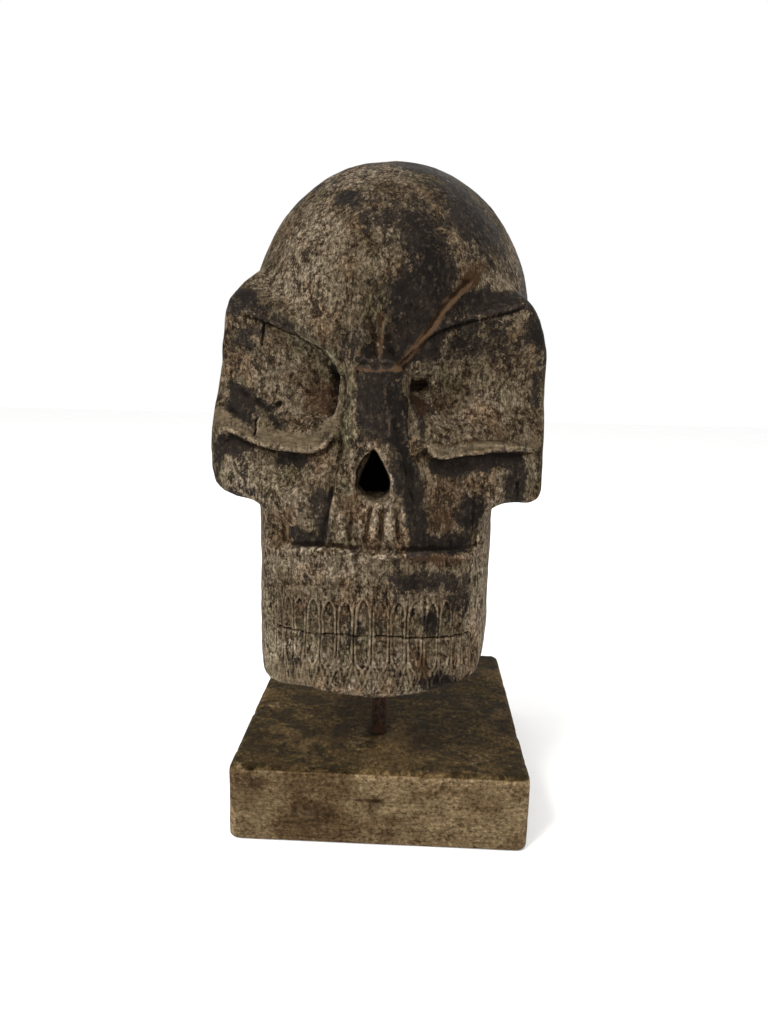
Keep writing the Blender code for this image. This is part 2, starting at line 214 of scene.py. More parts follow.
def remesh(item, voxel, smoothing):
    """Rebuild a closed mesh from even quads, and smooth away the old facets."""
    modifier = item.modifiers.new("remesh", "REMESH")
    modifier.mode = "VOXEL"
    modifier.voxel_size = voxel
    smooth = item.modifiers.new("smooth", "SMOOTH")
    smooth.factor = 0.5
    smooth.iterations = smoothing
    return with_modifiers(item)


def refine(mesh, wanted):
    """Split each edge of the wanted faces, given as a test on their centres and the ways they face."""
    shape = bmesh.new()
    shape.from_mesh(mesh)
    shape.faces.ensure_lookup_table()
    centres = np.array([face.calc_center_median() for face in shape.faces]) / MM
    facing = np.array([face.normal for face in shape.faces])
    chosen = np.flatnonzero(wanted(centres, facing))
    edges = {edge for index in chosen for edge in shape.faces[index].edges}
    ordered = sorted(edges, key=lambda edge: edge.index)
    bmesh.ops.subdivide_edges(shape, edges=ordered, cuts=1, use_grid_fill=True)
    shape.to_mesh(mesh)
    shape.free()
    mesh.update()


def neighbour_mean(mesh, values):
    """The mean of the values at each vertex's neighbours."""
    edges = np.zeros(len(mesh.edges) * 2, int)
    mesh.edges.foreach_get("vertices", edges)
    first, second = edges.reshape(-1, 2).T
    count = np.bincount(edges, minlength=len(values))[:, None]
    total = np.zeros_like(values)
    np.add.at(total, first, values[second])
    np.add.at(total, second, values[first])
    return total / np.maximum(count, 1)


def relax(mesh, rounds, strength=0.5):
    """Move each vertex part of the way to the mean of its neighbours."""
    positions = read_vertices(mesh, "co")
    for _ in range(rounds):
        positions += strength * (neighbour_mean(mesh, positions) - positions)
    write_positions(mesh, positions)


class Carving:
    """A mesh being carved: its vertices in millimetres, the height still to be added, and its tones.

    front is how much of a carved line a vertex takes, and painted is how much of a patch of paint. flat is
    where each vertex shows from the front, a little unevenly. wear makes lines stronger and weaker.
    """

    def __init__(self, mesh, seed):
        self.mesh = mesh
        self.seed = seed
        self.at = read_vertices(mesh, "co") / MM
        self.normal = read_vertices(mesh, "normal")
        self.height = np.zeros(len(self.at))
        self.tone = {name: np.zeros(len(self.at)) for name in TONES}
        facing = ramp(-self.normal[:, 1], 0.05, 0.45)
        self.front = facing * ramp(-self.at[:, 1], 40, 50)
        self.wear = np.clip(0.80 + 0.75 * self.noise(6, 30), 0.15, 1.4)
        self.flat = self.at[:, [0, 2]] + self.wobble(9, 0.5)
        turned = ramp(0.6 * self.normal[:, 2] - self.normal[:, 1], 0.0, 0.4)
        depth = self.at[:, 1] + 12 * self.noise(9, 57)
        self.painted = np.maximum(turned * ramp(20 - depth, 0, 15), ramp(-32 - depth, 0, 12))

    def noise(self, size, offset=0, octaves=3, stretch=(1, 1, 1)):
        return fractal(self.at, size, self.seed + offset, octaves, stretch)

    def wobble(self, size, reach):
        """A shift in x and z that makes every drawn line and patch a little uneven."""
        return reach * np.stack([self.noise(size, 40), self.noise(size, 50)], axis=1)

    def near(self, path, reach):
        """The vertices near a smooth path of (x, z) points, their distances, and their shares along it.

        A distance is positive on the left of the path's direction, and negative on its right.
        """
        line = smooth_path(path)
        inside = np.all((self.flat > line.min(0) - reach) & (self.flat < line.max(0) + reach), axis=1)
        found = np.flatnonzero(inside & (self.front > 0))
        step = np.diff(line, axis=0)
        offset = self.flat[found][:, None, :] - line[:-1]
        share = np.clip((offset * step).sum(2) / (step**2).sum(1), 0, 1)
        distance = np.linalg.norm(offset - share[..., None] * step, axis=2)
        best = distance.argmin(1)
        rows = np.arange(len(found))
        cross = step[best, 0] * offset[rows, best, 1] - step[best, 1] * offset[rows, best, 0]
        signed = distance[rows, best] * np.where(cross > 0, 1, -1)
        along = (best + share[rows, best]) / len(step)
        close = np.abs(signed) < reach
        return found[close], signed[close], along[close]

    def groove(self, path, width, depth, fade=0.12):
        """A rounded groove, or a ridge if the depth is negative, which fades at both ends."""
        found, distance, along = self.near(path, 2.6 * width)
        ends = ramp(along, -0.001, fade) * ramp(1 - along, -0.001, fade)
        self.height[found] -= depth * bump_at(distance, width) * ends * (self.front * self.wear)[found]

    def step(self, path, depth, run, side, edge=0.6, fade=0.10):
        """A step down on one side of a path, which climbs back to the old surface over the run."""
        found, distance, along = self.near(path, run)
        ends = ramp(along, -0.001, fade) * ramp(1 - along, -0.001, fade)
        into = side * distance
        fall = ramp(into, -edge, edge) * (1 - ramp(into, 0.2 * run, run))
        self.height[found] -= depth * fall * ends * self.front[found]

    def scoop(self, x, z, width, height, depth):
        """A rounded hollow inside an oval, seen from the front."""
        reach = oval(self.flat, x, z, width, height)
        self.height -= depth * (1 - ramp(reach, 0, 1)) * self.front

    def stain(self, tone, path, width, amount):
        """Colour along a path."""
        found, distance, _ = self.near(path, 2.6 * width)
        self.tone[tone][found] += amount * bump_at(distance, width) * (self.front * self.wear)[found]

    def patch(self, tone, x, z, width, height, amount, turn=0):
        """Colour in a ragged oval, seen from the front."""
        reach = oval(self.flat + self.wobble(6, 2.5), x, z, width, height, turn)
        self.tone[tone] += amount * (1 - ramp(reach, 0.35, 1.45)) * self.painted

    def apply(self):
        """Move the vertices, and write the tones and the shape's own hollows and rims to the mesh."""
        write_positions(self.mesh, (self.at + self.normal * self.height[:, None]) * MM)
        self.find_hollows()
        for name, values in self.tone.items():
            attribute = self.mesh.attributes.new(name, "FLOAT", "POINT")
            attribute.data.foreach_set("value", np.clip(values, 0, 2).astype(np.float32))

    def find_hollows(self):
        """Compare each vertex with the mean of the vertices round it, near and further out; sunk places take
        hollow, a painted shade, and raised places take rim, a painted highlight with paler worn edges.
        """
        positions = read_vertices(self.mesh, "co") / MM
        normal = read_vertices(self.mesh, "normal")
        mean = positions
        for reach, share in ((2, 2.2), (4, 0.9)):
            for _ in range(reach):
                mean = neighbour_mean(self.mesh, mean)
            rise = ((mean - positions) * normal).sum(1) * share
            self.tone["hollow"] += np.clip(rise, 0, 1)
            self.tone["rim"] += np.clip(-rise, 0, 1)


# ---------------------------------------------------------------- the skull's carving


def bend_jaw(carving):
    """The jaw's underside climbs a little towards the viewer's right."""
    x, _, z = carving.at.T
    carving.at[:, 2] += ramp(106 - z, 0, 18) * 0.055 * (x + 6)


def carve_brows(carving):
    """The diagonal crest, the shadow behind it, and the line along each brow."""
    crest = [(38, 280), (31, 273), (24, 265), (18, 255), (11, 246), (4, 239)]
    carving.step(crest, 2.4, 16, -1)
    carving.groove(crest, 2.2, -1.2, fade=0.2)
    carving.stain("warm", crest, 1.9, 4.5)
    carving.groove([(3, 244), (9, 256), (15, 268)], 5, 1.2, fade=0.3)
    carving.stain("dark", [(1, 243), (6, 255), (12, 268), (22, 282)], 6, 1.3)
    right_line = [(4, 239), (12, 247), (22, 255), (36, 261), (50, 265), (63, 269)]
    carving.step(right_line, 2.6, 13, -1)
    carving.groove(right_line, 0.9, 0.8)
    carving.stain("dark", right_line, 3.5, 0.8)
    left_line = [(-73, 263), (-59, 258), (-46, 252), (-33, 246), (-26, 239), (-23, 231)]
    carving.step(left_line, 2.2, 12, -1)
    carving.groove(left_line, 0.9, 0.8)
    # Near black in the left brow's groove: painted shade
    carving.stain("black", left_line, 0.7, 0.3)


def carve_bridge(carving):
    """The thin lines between the brows, the ledge under them, and the dark bridge of the nose."""
    carving.groove([(-10, 262), (-7, 250), (-4, 242)], 1.2, 0.6)
    carving.groove([(-4, 257), (-4, 249), (-4, 242)], 1.0, -1.0)
    for line in ([(-5, 262), (-4, 249), (-4, 240)], [(-11, 257), (-5, 250)], [(2, 257), (-3, 250)]):
        carving.stain("warm", line, 0.8, 2.2)
    for side in (-1, 1):
        carving.groove([(-4 + side * 3, 254), (-4 + side * 5, 242)], 2.4, 1.0)
        carving.stain("dark", [(-4 + side * 4, 254), (-4 + side * 7, 242)], 3.5, 0.9)
    ledge = [(-15, 238), (-8, 237), (0, 237.5), (7, 238)]
    carving.groove(ledge, 1.0, -0.7)
    carving.groove([(-14, 240.5), (-4, 240.5), (6, 241)], 1.1, 1.0)
    carving.stain("warm", ledge, 1.0, 1.9)
    carving.patch("dark", -3, 222, 12, 18, 1.3)
    bridge = [(-2, 234), (-1, 224), (2, 208)]
    carving.groove(bridge, 0.8, -0.7)
    carving.stain("warm", bridge, 0.6, 1.6)


def carve_nose(carving):
    """The long lines down both sides of the nose, and the raised rim round its opening."""
    right = [(3, 222), (5, 209), (9, 195), (13, 180), (15, 168), (17, 154)]
    carving.groove(right, 2.6, 1.9)
    carving.groove([(x + 3.6, z) for x, z in right], 1.0, -0.6)
    carving.stain("dark", right, 3.8, 2.6)
    left = [(-18, 238), (-18, 222), (-19, 204), (-22, 186), (-25, 170), (-28, 154)]
    carving.groove(left, 1.5, -1.1)
    carving.groove([(x - 3.2, z) for x, z in left], 1.6, 1.1)
    carving.stain("dark", [(x - 3.2, z) for x, z in left[3:]], 1.8, 0.9)
    carving.stain("green", left, 2.2, 0.5)
    sides = (
        [(-6, 206), (-11, 196), (-16, 185), (-15, 178)],
        [(-6, 206), (-2, 197), (3, 188), (3, 179)],
    )
    for side in sides:
        carving.groove(side, 1.3, -1.1, fade=0.08)
        carving.stain("pale", side, 1.5, 0.6)
    carving.patch("warm", -6, 207, 7, 4.5, 0.8)
    carving.patch("warm", 4, 194, 3, 9, 0.9, turn=15)
    carving.patch("green", -17, 184, 3.5, 6, 1.2)
    deepen_nose(carving)


def deepen_nose(carving):
    """Push the floor of the nose opening back, most of all in its middle, and blacken it as painted shade."""
    x, y, z = carving.at.T
    half = 8.2 * (1 - ramp(z, 180, 205)) + 0.3
    inside = 1 - ramp(np.abs(x - NOSE_X) / half, 0.75, 1.0)
    inside *= ramp(z, 177.5, 180.5) * (1 - ramp(z, 201, 204))
    inside *= ramp(y, -76, -68) * (y < -55)
    carving.at[:, 1] += 13 * inside
    # Near black in the opening: painted shade
    carving.tone["black"] += 1.6 * inside


def carve_upper_jaw(carving):
    """The fan of roots under the nose with painted shade between them, and the step above the tooth block
    with a painted shadow line and a pale ledge that is partly painted highlight.
    """
    x, _, z = carving.at.T
    fingers = [
        ([(-20.5, 174), (-20.5, 165), (-21.5, 155)], 3.2),
        ([(-9.0, 176), (-11.5, 166), (-13.0, 155)], 2.9),
        ([(-3.6, 177), (-5.0, 167), (-6.2, 156)], 1.9),
        ([(1.6, 176), (2.4, 166), (2.0, 155)], 2.7),
        ([(7.6, 175), (9.8, 166), (11.5, 155)], 2.5),
    ]
    for path, width in fingers:
        carving.groove(path, width, -1.6, fade=0.3)
        carving.stain("pale", path, width, 0.5)
    for left, right in zip(fingers, fingers[1:]):
        gap = [((a[0] + b[0]) / 2, a[1]) for a, b in zip(left[0], right[0])]
        carving.groove(gap, 1.0, 0.9, fade=0.3)
        # Near black in the gaps between the roots: painted shade
        carving.stain("black", gap[1:], 0.9, 0.45)
    shadow = [(-47, 153.5), (-28, 155), (-12, 153.5), (2, 153), (20, 154.5), (44, 152)]
    carving.groove(shadow, 1.1, 0.8, fade=0.03)
    set_back = ramp(172 - z, 0, 18) * ramp(z, 153, 154.5) * (np.abs(x + 3) < 48)
    carving.height -= 1.2 * set_back * carving.front
    # Near black along the step: painted shadow
    carving.stain("black", shadow, 0.8, 0.25)
    lip = [(-47, 150.5), (-28, 152.3), (-12, 151), (2, 150.3), (20, 151.6), (43, 149)]
    carving.groove(lip, 1.3, -0.8, fade=0.03)
    # Pale along the ledge's top: partly painted highlight
    carving.stain("pale", lip, 2.4, 0.6)
    carving.stain("warm", [(5, 151), (25, 150), (42, 149)], 2.2, 0.8)


def carve_left_socket(carving):
    carving.scoop(-38, 227, 24, 23, 4.0)
    carving.scoop(-30, 226, 8, 16, 3.5)
    lip = [(-82, 207), (-72, 203), (-60, 199.5), (-45, 197.5), (-36, 198), (-29, 201), (-25, 208)]
    carving.step(lip, 2.4, 13, -1)
    carving.groove([(x, z + 1.5) for x, z in lip], 1.6, -0.7)
    # Near black just under the lip: painted shadow
    carving.stain("black", [(x, z - 0.8) for x, z in lip[1:]], 0.9, 0.4)
    carving.stain("smooth", [(x, z + 6) for x, z in lip], 5, 1.2)
    slit = [(-28.5, 236), (-28.5, 230), (-28.5, 223), (-26.5, 214)]
    carving.groove(slit, 3.2, 4.0, fade=0.3)
    # Near black down the slit: painted shade
    carving.stain("black", slit[:3], 2.8, 1.4)
    carving.stain("black", slit[2:], 1.2, 0.8)
    inner_rim = [(-24.5, 230), (-24.5, 222), (-25, 213)]
    carving.groove(inner_rim, 1.1, -1.0)
    carving.stain("pale", inner_rim, 1.1, 0.8)
    knot = [(-54.5, 220), (-52.5, 220.5)]
    carving.groove(knot, 1.2, 2.0, fade=0.01)
    carving.stain("black", knot, 1.3, 1.3)
    for gouge in ([(-75, 226), (-64, 221), (-56, 215), (-51, 209)], [(-78, 217), (-71, 214), (-65, 210)]):
        carving.groove(gouge, 2.0, 0.9)
        carving.stain("dark", gouge, 2.2, 1.0)
    for crack in ([(-60, 258), (-60.4, 252), (-60.6, 247)], [(-64, 213), (-63.8, 209), (-64, 205)]):
        carving.groove(crack, 0.6, 1.6)
        # Near black in the cracks: painted shade
        carving.stain("black", crack, 0.55, 1.3)


def carve_right_socket(carving):
    carving.scoop(26, 227, 24, 22, 4.0)
    carving.scoop(16, 229, 8, 10, 3.5)
    lip = [(18, 203), (21, 198.5), (25, 196.5), (32, 197), (45, 199), (58, 200), (72, 200)]
    carving.step(lip, 2.6, 11, -1)
    carving.groove([(x, z + 1.4) for x, z in lip], 1.5, -0.6)
    carving.stain("dark", [(x, z - 3.8) for x, z in lip[2:6]] + [(62, 192), (62, 178)], 3.6, 2.6)
    carving.stain("smooth", [(x, z + 3.8) for x, z in lip], 3.4, 1.0)
    upper_lip = [(14, 224), (16, 215), (20, 209), (27, 205), (38, 203.5), (52, 203.5), (68, 202)]
    carving.groove(upper_lip, 0.9, -0.6)
    carving.groove([(x + 0.5, z + 2) for x, z in upper_lip], 1.3, 0.5)
    pocket = [(12.5, 231), (16, 231.5), (22, 230)]
    carving.groove(pocket, 3.0, 5.0, fade=0.3)
    # Near black in the pocket: painted shade
    carving.stain("black", pocket, 2.6, 0.9)
    carving.stain("dark", [(14, 228), (14, 220), (17, 212)], 2.6, 0.7)


def carve_cheeks(carving):
    carving.groove([(37, 177), (40, 171), (38, 165)], 5.0, 1.3, fade=0.3)
    carving.groove([(60, 190), (62, 183), (61, 176)], 3.0, 0.9, fade=0.3)
    carving.groove([(-55, 186), (-42, 183), (-34, 176)], 4.0, 0.8, fade=0.3)
    carving.groove([(-40, 170), (-36, 163), (-35, 156)], 3.2, 0.9, fade=0.3)
    carving.groove([(68, 196), (67, 186), (68, 178)], 2.6, -0.6, fade=0.3)


def tooth_panes(across, share, half_width):
    """The pane inside an arched tooth and the ridge round it.

    across goes from -1 to 1 over the tooth, and share goes from 0 at the bite line to 1 at the tip.
    """
    narrowing = np.clip((share - 0.42) / 0.58, 0, 1)
    outline = (np.abs(across) - 0.76 * np.sqrt(1 - narrowing**2)) * half_width
    pane = ramp(-outline, 0.0, 0.9)
    ridge = bump_at(outline - 0.35, 0.55)
    return pane, ridge


def carve_teeth(carving):
    """Two rows of arched teeth, numbered by their turn round the arch, with a split between neighbours."""
    x, _, z = carving.at.T
    x = x + 0.8 * carving.noise(11, 60, 2)
    z = z + 0.9 * carving.noise(11, 61, 2)
    turn = np.arcsin(np.clip((x - TEETH_X) / TEETH_ARCH, -0.98, 0.98)) / TOOTH_TURN
    index = np.floor(turn)
    across = 2 * (turn - index) - 1
    half_width = TEETH_ARCH * TOOTH_TURN * np.cos(turn * TOOTH_TURN) / 2
    worn = np.clip(0.85 + 0.7 * carving.noise(7, 62), 0.4, 1.2)
    lengths = np.random.default_rng(carving.seed).uniform(-1.2, 1.2, 64)
    top = UPPER_TOP + lengths[(index + 16).astype(int)]
    tip = LOWER_TIP + lengths[(index + 32).astype(int)]
    block = carving.front * worn * (z < LEDGE_Z) * (np.abs(turn) < 7.4)
    halves = (
        ((z - BITE_Z) / (top - BITE_Z), z > BITE_Z, 1.0),
        ((BITE_Z - z) / (BITE_Z - tip), z <= BITE_Z, 0.9),
    )
    for share, here, strength in halves:
        pane, ridge = tooth_panes(across, share, half_width)
        inside = here * (share < 1.35) * block * strength
        split = bump_at((1 - np.abs(across)) * half_width, 0.42) * (1 - ramp(share, 0.75, 1.0))
        carving.height += inside * (0.65 * ridge - 0.80 * pane - 0.80 * split)
        carving.tone["pale"] += inside * (0.6 - 0.15 * pane)
        carving.tone["smooth"] += inside * 1.0 * ridge
        carving.tone["green"] += inside * 0.35 * pane
        carving.tone["dark"] += inside * 0.25 * pane * ramp(carving.noise(5, 63), 0.0, 0.5)
        # Near black in the splits between teeth: painted shade
        carving.tone["black"] += inside * 0.25 * split
    carve_roots(carving, across, z, half_width, tip, block * (np.abs(index + 0.5) < 6))
    carve_bite(carving, z, turn)


def carve_bite(carving, z, turn):
    """The line between the rows, darkened with painted shade, with a pale edge under it."""
    wave = BITE_Z + 0.5 * carving.noise(14, 64)
    line = bump_at(z - wave, 0.5) * carving.front * carving.wear * (np.abs(turn) < 7.2)
    carving.height -= 1.3 * line
    # Near black in the bite line: painted shade
    carving.tone["black"] += 0.8 * line
    carving.tone["pale"] += 0.5 * bump_at(z - wave + 1.7, 0.7) * carving.front * (np.abs(turn) < 6)


def carve_roots(carving, across, z, half_width, tip, block):
    """The lattice of slanting lines below the lower teeth."""
    fall = (tip + 3 - z) / (tip + 3 - ROOT_END)
    here = ramp(fall, 0.0, 0.15) * (1 - ramp(fall, 0.85, 1.1)) * block
    inward = bump_at((np.abs(across) - (1 - fall)) * half_width, 0.6)
    outward = bump_at((np.abs(across) - (fall - 0.25) * 0.9) * half_width, 0.5)
    carving.height += here * (1.2 * inward + 0.7 * outward - 0.5)
    carving.tone["pale"] += here * (0.2 + 0.6 * inward)
    carving.tone["smooth"] += here * (1.6 * inward + 0.7 * outward)


def carve_jaw(carving):
    carving.groove([(20, 90), (27, 86), (36, 87)], 4.0, 1.8, fade=0.3)
    carving.groove([(18, 104), (21, 97), (24, 90)], 2.2, 1.6, fade=0.3)
    for x in (-33, -17.5, 14.5):
        chip = [(x, 125), (x + 0.4, 121.5)]
        carving.groove(chip, 1.3, 1.2, fade=0.05)
        # Near black in the chips: painted shade
        carving.stain("black", chip, 1.2, 0.8)
    for x, low, high in ((-30, 141, 148), (-12, 132, 146), (9, 131, 140), (-40, 128, 144)):
        carving.groove([(x, high), (x + 1.2, (low + high) / 2), (x, low)], 2.6, 0.45, fade=0.3)
    wall_left, wall_right = -53, 44
    for wall, side in ((wall_left, 1), (wall_right, -1)):
        carving.step([(wall, 150), (wall + 0.4 * side, 125), (wall, 95)], 0.9, 9, -side, edge=0.9)


# Patches of each tone, in millimetres: x, z, half width, half height, amount, and any turn in degrees
FACE_PATCHES = {
    "dark": [
        (32, 318, 14, 26, 0.75, 15),
        (12, 336, 12, 6, 0.7, -10),
        (12, 308, 12, 14, 0.50),
        (17, 284, 12, 22, 1.0, 20),
        (12, 260, 9, 18, 1.5, 20),
        (-22, 316, 8, 4.5, 1.1),
        (-6, 306, 12, 12, 0.45),
        (-4, 268, 12, 12, 0.55),
        (42, 270, 23, 5.5, 1.2, 8),
        # Dark at the top of the right socket: patina, and painted shade under the brow
        (42, 252, 26, 10, 0.65, 8),
        (70, 262, 8, 14, 0.8),
        (72, 235, 4, 16, 0.6),
        (-74, 268, 12, 6, 0.95, 25),
        (-58, 262, 20, 5, 0.65, -22),
        (-66, 250, 10, 6, 0.4),
        # Dark at the top of the left socket: patina, and painted shade under the brow
        (-45, 252, 14, 5, 0.4, -22),
        (41, 171, 6.5, 9, 1.3),
        (30, 156, 13, 5, 1.2),
        (66, 190, 5, 12, 0.3),
        (20, 139, 20, 5.5, 0.8),
        (36, 128, 6, 12, 0.6),
        (23, 118, 4.0, 6, 1.2),
        (29, 86, 9, 4.5, 1.6),
        # Dark in the recess under the left lip: painted shade
        (-47, 194, 10, 3.5, 1.1),
        (-76, 199, 9, 5, 0.9),
        (-86, 190, 5, 14, 0.6),
        (-70, 176, 12, 5, 0.4),
        (-70, 219, 16, 6, 0.5, -28),
        # Dark under the maxilla's left edge: painted shadow
        (-40, 157, 9, 4, 0.9),
        (-30, 170, 5, 12, 0.4),
        (-26, 134, 6, 7, 0.25),
        (45, 300, 14, 14, 0.35),
        (-17, 249, 8, 9, 0.6),
        (6, 188, 6, 12, 0.3),
    ],
    "warm": [
        (28, 178, 14, 15, 0.85),
        (26, 163, 9, 9, 0.6),
        (39, 283, 11, 6, 1.1, 20),
        (16, 222, 4, 6, 1.6),
        (-34, 224, 9, 9, 1.2),
        (-5, 262, 6, 7, 0.6),
        (22, 149, 20, 4, 0.7),
        (21, 94, 4, 8, 1.8, 10),
        (-79, 250, 5, 12, 0.6),
        (40, 240, 22, 8, 0.3),
        (-36, 245, 8, 3, 0.4, -30),
        (-60, 238, 14, 6, 0.4),
        (30, 128, 8, 5, 0.4),
        (-10, 143, 20, 8, 0.35),
    ],
    "pale": [
        (-38, 292, 22, 26, 0.75),
        (-50, 276, 18, 8, 0.75, -15),
        (-14, 332, 24, 10, 1.2),
        (-8, 284, 8, 12, 0.4),
        (-58, 238, 18, 12, 0.55),
        (46, 217, 22, 10, 0.55),
        # Pale wood on the jaw's right side, made paler still as painted light against its shade
        (50, 120, 8, 38, 3.0),
        (50, 152, 5, 20, 2.0),
        (-61, 120, 8, 38, 1.2),
        (-24, 334, 20, 9, 0.7, 20),
        (34, 340, 16, 4, 0.5, -20),
        (-4, 166, 17, 10, 0.5),
        (-20, 145, 30, 8, 0.7),
        # Pale wood on the jaw's left corner, made paler still as painted light against its shade
        (-46, 92, 19, 14, 2.6),
        (-6, 88, 34, 11, 1.3),
        (38, 93, 7, 8, 0.8),
        # Pale down the dome's right edge: partly its colour, partly a painted rim highlight
        (66, 300, 12, 34, 1.8),
        (50, 281, 12, 5, 0.7),
        (-66, 180, 22, 14, 1.0),
        (-36, 178, 10, 10, 0.35),
        (70, 186, 5, 12, 0.5),
    ],
    "smooth": [
        (-46, 89, 15, 7, 0.7),
        (-2, 150, 34, 2, 0.4),
        (30, 283, 9, 5, 0.5, 20),
    ],
    # The rim patches are painted light: they brighten the jaw's left corner and right side, which face away
    # from the key light
    "rim": [
        (-48, 92, 18, 12, 0.55),
        (50, 122, 8, 38, 0.55),
    ],
    "green": [
        (-60, 187, 24, 10, 0.55),
        (-61, 120, 7, 36, 0.7),
        (49, 120, 7, 36, 0.8),
        (69, 190, 6, 14, 0.6),
        (-38, 248, 14, 6, 0.9, -25),
        (-26, 238, 6, 9, 0.7),
        (-21, 215, 4, 20, 0.6),
        (-72, 228, 9, 8, 0.5),
        (-34, 300, 20, 20, 0.3),
    ],
}


def paint_face(carving):
    for tone, patches in FACE_PATCHES.items():
        for patch in patches:
            carving.patch(tone, *patch)


def weather(carving):
    """Tool marks, open grain and worm holes all over with painted shade in the holes and checks, and stains
    on the parts away from the face.
    """
    carving.height += 0.40 * carving.noise(15, 70, 2) + 0.22 * carving.noise(6, 72, 2)
    carving.height += (0.05 + 0.10 * carving.front) * carving.noise(2.6, 74, 2, (1, 1, 5))
    pits = ramp(carving.noise(3.2, 78, 2), 0.45, 0.62) * ramp(carving.noise(20, 80), -0.1, 0.4)
    carving.height -= 0.5 * pits
    # Near black in the worm holes: painted shade
    carving.tone["black"] += 0.5 * pits
    checks = ramp(carving.noise(2.0, 84, 2, (1, 1, 16)), 0.42, 0.55)
    checks *= ramp(carving.noise(34, 86), 0.1, 0.45)
    carving.height -= 0.55 * checks
    # Near black in the checks: painted shade
    carving.tone["black"] += 0.55 * checks
    away = 1 - ramp(-carving.at[:, 1], 10, 45)
    carving.height += 0.5 * away * carving.noise(24, 88, 2)
    carving.tone["dark"] += ramp(carving.noise(36, 90), -0.05, 0.4) * (0.2 + 0.7 * away) * 0.8
    carving.tone["pale"] += ramp(carving.noise(28, 93), 0.05, 0.6) * 0.5
    carving.tone["warm"] += ramp(carving.noise(26, 96), 0.1, 0.6) * (0.15 + 0.35 * away)
    carving.tone["green"] += ramp(carving.noise(40, 99), 0.1, 0.6) * 0.35


def clear_bore(carving):
    """Keep the bore's wall clear of the post, and blacken the bore as painted shade."""
    offset = carving.at[:, :2] - POST_CENTRE
    radius = np.linalg.norm(offset, axis=1)
    clear = BORE_RADIUS / MM + 0.3
    bore = (radius < clear + 1.5) & (carving.at[:, 2] < POST_HIGH.z / MM + 3)
    carving.height[bore] = 0
    scale = np.where(bore, np.maximum(radius, clear) / np.maximum(radius, 0.01), 1)
    carving.at[:, :2] = POST_CENTRE + offset * scale[:, None]
    # Near black in the bore: painted shade
    carving.tone["black"][bore] = 1


def face_area(centres, facing):
    _, y, z = centres.T
    return (y < -44) & (z < 296) & (facing[:, 1] < -0.1)


def tooth_area(centres, facing):
    _, y, z = centres.T
    return (y < -60) & (z < 140) & (z > 79) & (facing[:, 1] < -0.35)


# The work on the skull, in order
SKULL_WORK = (
    bend_jaw,
    carve_brows,
    carve_bridge,
    carve_nose,
    carve_upper_jaw,
    carve_left_socket,
    carve_right_socket,
    carve_cheeks,
    carve_teeth,
    carve_jaw,
    paint_face,
    weather,
    clear_bore,
)


def make_skull(wood):
    """The skull's own finer mesh, carved and painted."""
    skull = new_object("carved_skull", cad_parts["skull"].data.copy())
    mesh = remesh(skull, SKULL_VOXEL, 5)
    refine(mesh, face_area)
    refine(mesh, tooth_area)
    relax(mesh, 3)
    carving = Carving(mesh, seed=11)
    for work in SKULL_WORK:
        work(carving)
    carving.apply()
    finish_piece(skull, wood, "skull", ["skull"])


def finish_piece(item, material, body, nodes):
    """Give a piece its one material, hang it on the body that it rides on, and hide the frame's parts that it
    stands for.
    """
    item.data.materials.clear()
    item.data.materials.append(material)
    item.data.shade_smooth()
    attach(item, body)
    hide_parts(*nodes)


# ---------------------------------------------------------------- the base and the post


def rounded_block():
    """The base block with eased edges, as in the frame."""
    shape = bmesh.new()
    bmesh.ops.create_cube(shape, size=1)
    size = BASE_HIGH - BASE_LOW
    middle = (BASE_HIGH + BASE_LOW) / 2
    bmesh.ops.scale(shape, vec=size, verts=shape.verts)
    bmesh.ops.translate(shape, vec=middle, verts=shape.verts)
    upright = [edge for edge in shape.edges if abs(edge.verts[0].co.z - edge.verts[1].co.z) > size.z / 2]
    bmesh.ops.bevel(shape, geom=upright, offset=CORNER_EASE, segments=4, profile=0.5, affect="EDGES")
    for level, ease in ((BASE_HIGH.z, TOP_EASE), (BASE_LOW.z, BOTTOM_EASE)):
        rim = [edge for edge in shape.edges if all(abs(end.co.z - level) < 0.00001 for end in edge.verts)]
        bmesh.ops.bevel(shape, geom=rim, offset=ease, segments=3, profile=0.5, affect="EDGES")
    mesh = bpy.data.meshes.new("block_base")
    shape.to_mesh(mesh)
    shape.free()
    return new_object("block_base", mesh)


def cutter(name, low, high, radius=None):
    """A box between two corners, or an upright round bar of that radius in the middle of them."""
    shape = bmesh.new()
    middle = (low + high) / 2
    if radius is None:
        bmesh.ops.create_cube(shape, size=1)
        bmesh.ops.scale(shape, vec=high - low, verts=shape.verts)
    else:
        bmesh.ops.create_cone(
            shape, cap_ends=True, segments=48, radius1=radius, radius2=radius, depth=high.z - low.z
        )
    bmesh.ops.translate(shape, vec=middle, verts=shape.verts)
    mesh = bpy.data.meshes.new(name)
    shape.to_mesh(mesh)
    shape.free()
    return new_object(name, mesh)


